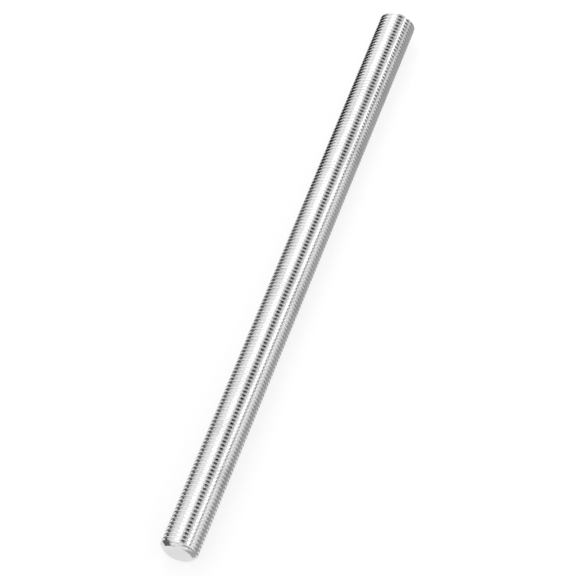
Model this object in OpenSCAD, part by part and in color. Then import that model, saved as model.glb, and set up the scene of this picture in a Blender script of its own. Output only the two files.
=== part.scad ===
// Fully threaded metric rod of bright stainless steel, lying on its side along X.
// The origin is on the surface it lies on, under the middle of the rod.

/* [Rod] */
// Overall length, from end face to end face
rod_l = 240; // [60:1:400]
// Outside diameter over the thread crests
thread_d = 14; // [12.5:0.1:24]

/* [Thread] */
// Pitch, from one crest to the next
pitch = 1.5; // [0.8:0.05:2.4]
// Angle between the two flanks of a groove
flank_angle = 60; // [50:1:75]
// Flat along each crest, as a fraction of the pitch
crest_share = 0.125; // [0.05:0.005:0.25]
// Flat along the bottom of each groove, as a fraction of the pitch
root_share = 0.167; // [0.1:0.001:0.3]

/* [Ends] */
// Diameter of the flat end faces, inside the chamfers
end_face_d = 10.6; // [4:0.1:13]
// Length of each end chamfer along the rod
chamfer_l = 1.4; // [0.5:0.1:6]

/* [Hidden] */
$fn = 128;
crest_w = pitch * crest_share;
root_w = pitch * root_share;
groove_depth = (pitch - crest_w - root_w) / 2 / tan(flank_angle / 2);
crest_r = thread_d / 2;
root_r = crest_r - groove_depth;
// Grooves on each side of the middle crest, enough to run out past the end face
side_grooves = ceil(rod_l / 2 / pitch) + 1;
outline_l = side_grooves * pitch;

// One groove beside the crest at x: down a flank, along the root and up the next flank
function groove_points(x) = [
    [crest_r, x + crest_w / 2],
    [root_r, x + (pitch - root_w) / 2],
    [root_r, x + (pitch + root_w) / 2],
    [crest_r, x + pitch - crest_w / 2]
];

// Half section of the thread, with its axis on Y and a crest at the middle
module thread_outline() {
    ridges = [for (i = [-side_grooves : side_grooves - 1]) each groove_points(i * pitch)];
    polygon(concat([[0, -outline_l]], ridges, [[0, outline_l]]));
}

// Half section of the bar before it was threaded, with its two chamfered ends
module blank_outline() {
    end_y = rod_l / 2;
    chamfer_y = end_y - chamfer_l;
    face_r = end_face_d / 2;
    polygon([
        [0, -end_y],
        [face_r, -end_y],
        [crest_r, -chamfer_y],
        [crest_r, chamfer_y],
        [face_r, end_y],
        [0, end_y]
    ]);
}

// The rod, one solid: the grooves run out on the chamfers, as a cut thread does
module threaded_rod() {
    color("silver")
        translate([0, 0, crest_r])
            rotate([90, 0, 90])
                rotate_extrude()
                    intersection() {
                        thread_outline();
                        blank_outline();
                    }
}

threaded_rod();
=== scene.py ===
from math import cos, pi, radians, sin, tan

import bpy
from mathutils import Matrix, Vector


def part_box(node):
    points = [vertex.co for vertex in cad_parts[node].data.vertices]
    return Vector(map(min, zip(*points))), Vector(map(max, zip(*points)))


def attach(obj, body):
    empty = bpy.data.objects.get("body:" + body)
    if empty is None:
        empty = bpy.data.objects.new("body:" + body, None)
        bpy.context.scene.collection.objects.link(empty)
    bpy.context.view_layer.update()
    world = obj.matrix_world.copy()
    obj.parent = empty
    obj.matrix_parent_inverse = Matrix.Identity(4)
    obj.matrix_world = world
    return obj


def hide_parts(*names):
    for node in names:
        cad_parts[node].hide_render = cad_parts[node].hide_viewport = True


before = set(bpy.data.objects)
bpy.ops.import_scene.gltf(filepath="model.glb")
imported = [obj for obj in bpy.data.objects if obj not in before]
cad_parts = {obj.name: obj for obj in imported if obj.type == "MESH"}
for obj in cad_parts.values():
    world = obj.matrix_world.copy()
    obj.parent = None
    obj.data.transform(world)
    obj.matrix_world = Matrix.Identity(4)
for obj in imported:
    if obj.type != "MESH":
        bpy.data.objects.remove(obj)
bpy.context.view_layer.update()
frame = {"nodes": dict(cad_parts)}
print("frame loaded:", ", ".join(frame["nodes"]))

mm = 0.001
rodNode = "threaded_rod"
thinnest = 0.002  # millimetres, for merging points
facesEnd = 0.99  # how squarely a face looks along the rod to count as an end face

# the rod's length and place come from the frame; its dimensions below are in millimetres
nodeLow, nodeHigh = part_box(rodNode)
rodLength = (nodeHigh.x - nodeLow.x) / mm
rodMiddle = (nodeLow.x + nodeHigh.x) / 2 / mm

# a fine metric thread, its crests and roots rounded as by rolling; the flats are those before rounding
threadForm = {
    "outsideDiameter": 14.0,
    "pitch": 1.5,
    "crestFlat": 0.375,
    "rootFlat": 0.15,
    "flankAngle": 60.0,
    "crestRadius": 0.27,
    "rootRadius": 0.12,
    "cornerSteps": 2,
    "stepsPerTurn": 40,
    "spareTurns": 2,
}

# a flat face and a chamfer at each end; the blank that cuts them is over size on the thread
rodEnds = {
    "faceDiameter": 10.6,
    "chamferLength": 1.4,
    "rimRound": 0.08,
    "overSize": 0.1,
    "rimSteps": 2,
    "sides": 96,
    "smoothAngle": 36.0,
}


def selectNothing():
    bpy.ops.object.select_all(action="DESELECT")


def makeActive(piece):
    selectNothing()
    piece.select_set(True)
    bpy.context.view_layer.objects.active = piece


def applyModifier(piece, kind, **settings):
    makeActive(piece)
    modifier = piece.modifiers.new(kind.title(), kind)
    for key, value in settings.items():
        setattr(modifier, key, value)
    bpy.ops.object.modifier_apply(modifier=modifier.name)


# the steps round one corner, from one direction of travel to another, both in degrees below X
def cornerArc(radius, fromAngle, toAngle, count):
    turn = radians(toAngle - fromAngle) / count
    chord = 2 * radius * abs(sin(turn / 2))
    angles = [radians(fromAngle) + turn * (index + 0.5) for index in range(count)]
    return [Vector((cos(angle), 0, -sin(angle))) * chord for angle in angles]


# one crest and one groove as steps along the rod and outwards, with rounded corners
def threadSteps(form):
    slope = 90 - form["flankAngle"] / 2
    flankRun = (form["pitch"] - form["crestFlat"] - form["rootFlat"]) / 2
    flankLength = flankRun / cos(radians(slope))
    crestCut = form["crestRadius"] * tan(radians(slope / 2))
    rootCut = form["rootRadius"] * tan(radians(slope / 2))
    down = Vector((cos(radians(slope)), 0, -sin(radians(slope))))
    up = Vector((down.x, 0, -down.z))
    along = Vector((1, 0, 0))
    straight = flankLength - crestCut - rootCut
    count = form["cornerSteps"]
    return [
        along * (form["crestFlat"] / 2 - crestCut),
        *cornerArc(form["crestRadius"], 0, slope, count),
        down * straight,
        *cornerArc(form["rootRadius"], slope, 0, count),
        along * (form["rootFlat"] - 2 * rootCut),
        *cornerArc(form["rootRadius"], 0, -slope, count),
        up * straight,
        *cornerArc(form["crestRadius"], -slope, 0, count),
        along * (form["crestFlat"] / 2 - crestCut),
    ]


# the helix: one turn's outline wound round the X axis, cut square and closed at both ends
def windThread(form):
    turns = round(rodLength / form["pitch"]) + 2 * form["spareTurns"]
    start = Vector((rodMiddle - turns * form["pitch"] / 2, 0, form["outsideDiameter"] / 2))
    selectNothing()
    bpy.ops.mesh.primitive_plane_add(size=1, location=(0, 0, 0))
    thread = bpy.context.object
    thread.name = "rod_thread"
    bpy.ops.object.mode_set(mode="EDIT")
    bpy.ops.mesh.select_all(action="SELECT")
    bpy.ops.mesh.merge(type="CENTER")
    bpy.ops.transform.translate(value=start)
    for step in threadSteps(form):
        bpy.ops.mesh.extrude_region_move(TRANSFORM_OT_translate={"value": step})
    bpy.ops.object.mode_set(mode="OBJECT")
    applyModifier(
        thread,
        "SCREW",
        axis="X",
        screw_offset=form["pitch"],
        iterations=turns,
        steps=form["stepsPerTurn"],
        render_steps=form["stepsPerTurn"],
    )
    bpy.ops.object.mode_set(mode="EDIT")
    bpy.ops.mesh.select_all(action="SELECT")
    bpy.ops.mesh.remove_doubles(threshold=thinnest)
    for side in (-1, 1):
        cut = rodMiddle + side * (rodLength / 2 + form["pitch"] / 2)
        bpy.ops.mesh.select_all(action="SELECT")
        bpy.ops.mesh.bisect(
            plane_co=(cut, 0, 0),
            plane_no=(side, 0, 0),
            use_fill=True,
            clear_outer=True,
            threshold=thinnest / 10,
        )
    bpy.ops.mesh.select_all(action="SELECT")
    bpy.ops.mesh.normals_make_consistent(inside=False)
    bpy.ops.object.mode_set(mode="OBJECT")
    print("thread wound:", turns, "turns,", len(thread.data.polygons), "faces")
    return thread


# the plain bar with its chamfers, so wide that only its ends cut the thread
def turnBlank(form, ends):
    slope = (form["outsideDiameter"] - ends["faceDiameter"]) / 2 / ends["chamferLength"]
    radius = form["outsideDiameter"] / 2 + ends["overSize"]
    coneLength = ends["chamferLength"] + ends["overSize"] / slope
    selectNothing()
    bpy.ops.mesh.primitive_cylinder_add(
        vertices=ends["sides"],
        radius=radius,
        depth=rodLength - 2 * coneLength,
        location=(rodMiddle, 0, 0),
        rotation=(0, radians(90), 0),
    )
    blank = bpy.context.object
    bpy.ops.object.transform_apply(location=True, rotation=True, scale=True)
    shrink = ends["faceDiameter"] / 2 / radius
    for side in (-1, 1):
        endX = rodMiddle + side * rodLength / 2
        bpy.ops.object.mode_set(mode="EDIT")
        bpy.ops.mesh.select_mode(type="FACE")
        bpy.ops.mesh.select_all(action="DESELECT")
        bpy.ops.object.mode_set(mode="OBJECT")
        for face in blank.data.polygons:
            face.select = face.normal.x * side > facesEnd
        bpy.ops.object.mode_set(mode="EDIT")
        bpy.ops.mesh.extrude_region_move(TRANSFORM_OT_translate={"value": (side * coneLength, 0, 0)})
        bpy.ops.transform.resize(value=(1, shrink, shrink), center_override=(endX, 0, 0))
        bpy.ops.mesh.bevel(offset=ends["rimRound"], segments=ends["rimSteps"], affect="EDGES")
        bpy.ops.object.mode_set(mode="OBJECT")
    return blank


# the thread cut by the blank, brought to metres and laid on the surface below
def makeRod(form, ends):
    rod = windThread(form)
    blank = turnBlank(form, ends)
    applyModifier(rod, "BOOLEAN", operation="INTERSECT", object=blank, solver="EXACT")
    bpy.data.objects.remove(blank)
    makeActive(rod)
    rod.scale = (mm, mm, mm)
    rod.location = (0, 0, form["outsideDiameter"] / 2 * mm)
    bpy.ops.object.transform_apply(location=True, rotation=True, scale=True)
    bpy.ops.object.mode_set(mode="EDIT")
    bpy.ops.mesh.select_all(action="SELECT")
    bpy.ops.mesh.remove_doubles(threshold=thinnest * mm)
    bpy.ops.mesh.normals_make_consistent(inside=False)
    bpy.ops.object.mode_set(mode="OBJECT")
    bpy.ops.object.shade_smooth_by_angle(angle=radians(ends["smoothAngle"]))
    applyModifier(rod, "WEIGHTED_NORMAL", mode="FACE_AREA", weight=50, keep_sharp=True)
    print("rod cut to length:", len(rod.data.polygons), "faces")
    return rod


rod = makeRod(threadForm, rodEnds)


# scales are in features a metre, heights in millimetres
steelFinish = {
    "colour": (0.745, 0.74, 0.74),
    "stainColour": (0.675, 0.665, 0.665),
    "stainScale": 90.0,
    "stainRange": (0.3, 0.5),
    "roughness": (0.09, 0.17),
    "grainScale": 350.0,
    "grainRange": (0.3, 0.7),
    "turningScale": 9000.0,
    "turningOutwards": 0.3,
    "turningBump": 0.35,
    "turningHeight": 0.003,
    "scratchScale": 700.0,
    "scratchStretch": (1.0, 0.08, 0.08),
    "scratchBump": 0.25,
    "scratchHeight": 0.009,
}


def addNode(tree, kind, place, **values):
    node = tree.nodes.new(kind)
    node.location = place
    for key, value in values.items():
        if key in node.inputs:
            node.inputs[key].default_value = value
        else:
            setattr(node, key, value)
    return node


def joinNodes(tree, source, output, target, entry):
    tree.links.new(source.outputs[output], target.inputs[entry])


# a map from a noise's middle range to the wanted range
def addRange(tree, place, fromRange, toRange=(0, 1)):
    node = addNode(tree, "ShaderNodeMapRange", place)
    node.inputs["From Min"].default_value = fromRange[0]
    node.inputs["From Max"].default_value = fromRange[1]
    node.inputs["To Min"].default_value = toRange[0]
    node.inputs["To Max"].default_value = toRange[1]
    return node


def stainlessSteel(finish):
    material = bpy.data.materials.new("brightStainless")
    material.use_nodes = True
    tree = material.node_tree
    shader = tree.nodes["Principled BSDF"]
    shader.inputs["Metallic"].default_value = 1.0
    place = addNode(tree, "ShaderNodeTexCoord", (-1500, 0))
    centred = addNode(tree, "ShaderNodeMapping", (-1300, 0))
    centred.inputs["Location"].default_value = (0, 0, -threadForm["outsideDiameter"] / 2 * mm)
    joinNodes(tree, place, "Object", centred, "Vector")

    # faint clouding of the colour
    clouds = addNode(tree, "ShaderNodeTexNoise", (-1000, 300), Scale=finish["stainScale"], Detail=4.0)
    joinNodes(tree, centred, "Vector", clouds, "Vector")
    tint = addNode(tree, "ShaderNodeMix", (-500, 300), data_type="RGBA")
    tint.inputs["A"].default_value = (*finish["stainColour"], 1)
    tint.inputs["B"].default_value = (*finish["colour"], 1)
    spread = addRange(tree, (-750, 300), finish["stainRange"])
    joinNodes(tree, clouds, "Fac", spread, "Value")
    joinNodes(tree, spread, "Result", tint, "Factor")
    joinNodes(tree, tint, "Result", shader, "Base Color")

    # and an uneven polish
    grain = addNode(tree, "ShaderNodeTexNoise", (-1000, 0), Scale=finish["grainScale"], Detail=6.0)
    joinNodes(tree, centred, "Vector", grain, "Vector")
    polish = addRange(tree, (-500, 0), finish["grainRange"], finish["roughness"])
    joinNodes(tree, grain, "Fac", polish, "Value")
    joinNodes(tree, polish, "Result", shader, "Roughness")

    # turning lines: rings about the axis, by how far along and how far out a point is
    parts = addNode(tree, "ShaderNodeSeparateXYZ", (-1100, -300))
    joinNodes(tree, centred, "Vector", parts, "Vector")
    across = addNode(tree, "ShaderNodeCombineXYZ", (-950, -400))
    joinNodes(tree, parts, "Y", across, "Y")
    joinNodes(tree, parts, "Z", across, "Z")
    outwards = addNode(tree, "ShaderNodeVectorMath", (-800, -400), operation="LENGTH")
    joinNodes(tree, across, "Vector", outwards, 0)
    lineAt = addNode(tree, "ShaderNodeMath", (-650, -300), operation="MULTIPLY_ADD")
    lineAt.inputs[1].default_value = finish["turningOutwards"]
    joinNodes(tree, outwards, "Value", lineAt, 0)
    joinNodes(tree, parts, "X", lineAt, 2)
    lines = addNode(tree, "ShaderNodeTexNoise", (-500, -300), noise_dimensions="1D")
    lines.inputs["Scale"].default_value = finish["turningScale"]
    joinNodes(tree, lineAt, "Value", lines, "W")
    turned = addNode(tree, "ShaderNodeBump", (-250, -300), Strength=finish["turningBump"])
    turned.inputs["Distance"].default_value = finish["turningHeight"] * mm
    joinNodes(tree, lines, "Fac", turned, "Height")

    # and fine scratches and dents over them
    stretched = addNode(tree, "ShaderNodeMapping", (-1100, -700), Scale=finish["scratchStretch"])
    joinNodes(tree, centred, "Vector", stretched, "Vector")
    marks = addNode(tree, "ShaderNodeTexNoise", (-500, -600), Scale=finish["scratchScale"], Detail=5.0)
    joinNodes(tree, stretched, "Vector", marks, "Vector")
    scratched = addNode(tree, "ShaderNodeBump", (-50, -450), Strength=finish["scratchBump"])
    scratched.inputs["Distance"].default_value = finish["scratchHeight"] * mm
    joinNodes(tree, marks, "Fac", scratched, "Height")
    joinNodes(tree, turned, "Normal", scratched, "Normal")
    joinNodes(tree, scratched, "Normal", shader, "Normal")
    return material


def paintPiece(piece, material):
    piece.data.materials.clear()
    piece.data.materials.append(material)


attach(rod, "root")
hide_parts(rodNode)
paintPiece(rod, stainlessSteel(steelFinish))
print("steel on")

# in metres; the floor is shown lifted to white, which leaves the rod only a faint shadow
studio = {
    "floorSize": 8.0,
    "floorColour": (0.3, 0.3, 0.3),
    "floorLift": 0.74,
    "floorRoughness": 0.9,
    "skyLight": 0.76,
    "skySeen": 1.0,
    "cardLift": 0.2 * mm,
}

# strips that run along the rod and add to the white sky; lean is from straight up, towards -Y
softBoxes = {
    "broad": {"lean": -26.8, "distance": 0.70, "along": (0.062, 1.90), "width": 0.35, "brightness": 1.35},
    "fill": {"lean": -56.0, "distance": 0.70, "along": (-0.10, 1.90), "width": 0.40, "brightness": 0.42},
    "narrow": {"lean": 50.4, "distance": 0.70, "along": (-0.04, 0.58), "width": 0.227, "brightness": 1.65},
    "low": {"lean": 80.0, "distance": 0.70, "along": (-0.10, 0.42), "width": 0.20, "brightness": 0.60},
}

# glowing cards that only the steel sees, painted reflections that draw dark and grey lines in the bright
# metal where a photographer would hang real cards
paintedReflectionCards = {
    "black": {"lean": 11.2, "distance": 0.612, "along": (-0.128, 0.38), "width": 0.235, "brightness": 0.01},
    "grey": {"lean": 17.6, "distance": 0.75, "along": (-0.265, 0.63), "width": 0.26, "brightness": 0.40},
    "side": {"lean": 66.3, "distance": 0.30, "along": (0.155, 0.488), "width": 0.165, "brightness": 0.20},
    "sideNear": {"lean": 65.0, "distance": 0.30, "along": (-0.05, 0.155), "width": 0.07, "brightness": 0.50},
    "sideFar": {"lean": 81.0, "distance": 0.32, "along": (0.23, 0.60), "width": 0.15, "brightness": 0.45},
}

# and some that lie beside and under the rod, seen only in the steel: painted shadow of the floor close to
# the rod, and painted reflection of a darker floor further out
floorShadowAndReflectionCards = {
    "left": {"along": (-0.45, 0.02), "across": (0.0179, 0.12), "brightness": 0.14},
    "leftFar": {"along": (0.02, 0.45), "across": (0.0179, 0.12), "brightness": 0.03},
    "right": {"along": (-0.45, 0.55), "across": (-0.0389, -0.0089), "brightness": 0.46},
    "rightWide": {"along": (-0.45, 0.06), "across": (-0.30, -0.0389), "brightness": 0.97},
    "rightFar": {"along": (0.06, 0.55), "across": (-0.60, -0.0389), "brightness": 0.48},
    # painted contact shadow under the rod, seen in its lower side
    "under": {"along": (-0.117, 0.117), "across": (-0.005, 0.005), "brightness": 0.20},
}


# one for the rays that show what is there, from the camera, bright metal or anything clear, else zero
def addShown(tree):
    rays = addNode(tree, "ShaderNodeLightPath", (-600, 0))
    seen = addNode(tree, "ShaderNodeMath", (-300, 200), operation="MAXIMUM")
    shown = addNode(tree, "ShaderNodeMath", (-150, 200), operation="MAXIMUM")
    joinNodes(tree, rays, "Is Camera Ray", seen, 0)
    joinNodes(tree, rays, "Is Glossy Ray", seen, 1)
    joinNodes(tree, seen, 0, shown, 0)
    joinNodes(tree, rays, "Is Transmission Ray", shown, 1)
    return shown


# what those rays see is plain white; the rest is lit by the sky light
def whiteSurroundings(values):
    world = bpy.data.worlds.new("studioWhite")
    bpy.context.scene.world = world
    world.use_nodes = True
    tree = world.node_tree
    tree.nodes.clear()
    output = addNode(tree, "ShaderNodeOutputWorld", (600, 0))
    light = addNode(tree, "ShaderNodeBackground", (0, 100), Strength=values["skyLight"])
    light.inputs["Color"].default_value = (1, 1, 1, 1)
    white = addNode(tree, "ShaderNodeBackground", (0, -100), Strength=values["skySeen"])
    white.inputs["Color"].default_value = (1, 1, 1, 1)
    mix = addNode(tree, "ShaderNodeMixShader", (300, 0))
    joinNodes(tree, addShown(tree), 0, mix, 0)
    joinNodes(tree, light, 0, mix, 1)
    joinNodes(tree, white, 0, mix, 2)
    joinNodes(tree, mix, 0, output, "Surface")


def layFloor(values):
    selectNothing()
    bpy.ops.mesh.primitive_plane_add(size=values["floorSize"], location=(0, 0, 0))
    floor = bpy.context.object
    floor.name = "studio_floor"
    material = bpy.data.materials.new("whiteFloor")
    material.use_nodes = True
    tree = material.node_tree
    shader = tree.nodes["Principled BSDF"]
    shader.inputs["Base Color"].default_value = (*values["floorColour"], 1)
    shader.inputs["Roughness"].default_value = values["floorRoughness"]
    shader.inputs["Specular IOR Level"].default_value = 0.0
    shader.inputs["Emission Color"].default_value = (1, 1, 1, 1)
    lift = addNode(tree, "ShaderNodeMath", (0, 200), operation="MULTIPLY")
    lift.inputs[1].default_value = values["floorLift"]
    joinNodes(tree, addShown(tree), 0, lift, 0)
    joinNodes(tree, lift, 0, shader, "Emission Strength")
    paintPiece(floor, material)
    return floor


# a point at a distance from the rod's axis
def besideRod(lean, distance, x):
    turn = radians(lean)
    axisHeight = threadForm["outsideDiameter"] / 2 * mm
    return Vector((x, -sin(turn) * distance, cos(turn) * distance + axisHeight))


def lengthAndMiddle(ends):
    return ends[1] - ends[0], (ends[0] + ends[1]) / 2


def hangSoftBox(name, box):
    length, middle = lengthAndMiddle(box["along"])
    selectNothing()
    bpy.ops.object.light_add(type="AREA", location=besideRod(box["lean"], box["distance"], middle))
    lamp = bpy.context.object
    lamp.name = "softbox_" + name
    lamp.rotation_euler = (radians(box["lean"]), 0, 0)
    lamp.data.shape = "RECTANGLE"
    lamp.data.size = length
    lamp.data.size_y = box["width"]
    lamp.data.energy = pi * length * box["width"] * box["brightness"]
    return lamp


# a card's set glow is its painted reflection, the level it shows in the steel
def paintedReflectionMaterial(name, brightness):
    material = bpy.data.materials.new(name)
    material.use_nodes = True
    shader = material.node_tree.nodes["Principled BSDF"]
    shader.inputs["Base Color"].default_value = (0, 0, 0, 1)
    shader.inputs["Specular IOR Level"].default_value = 0.0
    shader.inputs["Emission Color"].default_value = (1, 1, 1, 1)
    shader.inputs["Emission Strength"].default_value = brightness
    return material


# hidden from the camera, from other light and from shadows, so that it shows only as a painted reflection in
# the steel
def hangPaintedReflection(name, place, lean, size, brightness):
    selectNothing()
    bpy.ops.mesh.primitive_plane_add(size=1, location=place, rotation=(radians(lean), 0, 0))
    card = bpy.context.object
    card.name = "painted_reflection_" + name
    card.scale = (size[0], size[1], 1)
    bpy.ops.object.transform_apply(location=True, rotation=True, scale=True)
    card.visible_camera = False
    card.visible_diffuse = False
    card.visible_transmission = False
    card.visible_volume_scatter = False
    card.visible_shadow = False
    paintPiece(card, paintedReflectionMaterial(card.name, brightness))
    return card


def buildStudio():
    whiteSurroundings(studio)
    layFloor(studio)
    for name, box in softBoxes.items():
        hangSoftBox(name, box)
    # then the cards seen only in the steel: painted reflections overhead, and painted shadow and reflection
    # on the floor
    for name, card in paintedReflectionCards.items():
        length, middle = lengthAndMiddle(card["along"])
        place = besideRod(card["lean"], card["distance"], middle)
        hangPaintedReflection(name, place, card["lean"], (length, card["width"]), card["brightness"])
    for name, card in floorShadowAndReflectionCards.items():
        length, middle = lengthAndMiddle(card["along"])
        width, side = lengthAndMiddle(card["across"])
        place = (middle, side, studio["cardLift"])
        hangPaintedReflection(name, place, 0, (length, width), card["brightness"])
    print("studio set:", len(softBoxes), "soft boxes,", len(paintedReflectionCards) + len(floorShadowAndReflectionCards), "paintedReflectionCards")


buildStudio()

# the photograph's view: from above the near end, with a long lens
shot = {
    "aim": (-0.0073, 0.0, 0.007),
    "towards": (-0.478, -0.171, 0.8616),
    "distance": 0.9465,
    "lens": 162.3,
    "sensor": 36.0,
}


def setCamera(values):
    selectNothing()
    towards = Vector(values["towards"]).normalized()
    aim = Vector(values["aim"])
    bpy.ops.object.camera_add(location=aim + towards * values["distance"])
    camera = bpy.context.object
    camera.rotation_euler = (-towards).to_track_quat("-Z", "Y").to_euler()
    camera.data.lens = values["lens"]
    camera.data.sensor_width = values["sensor"]
    bpy.context.scene.camera = camera
    return camera


setCamera(shot)
bpy.context.scene.view_settings.view_transform = "Standard"
print("camera set")
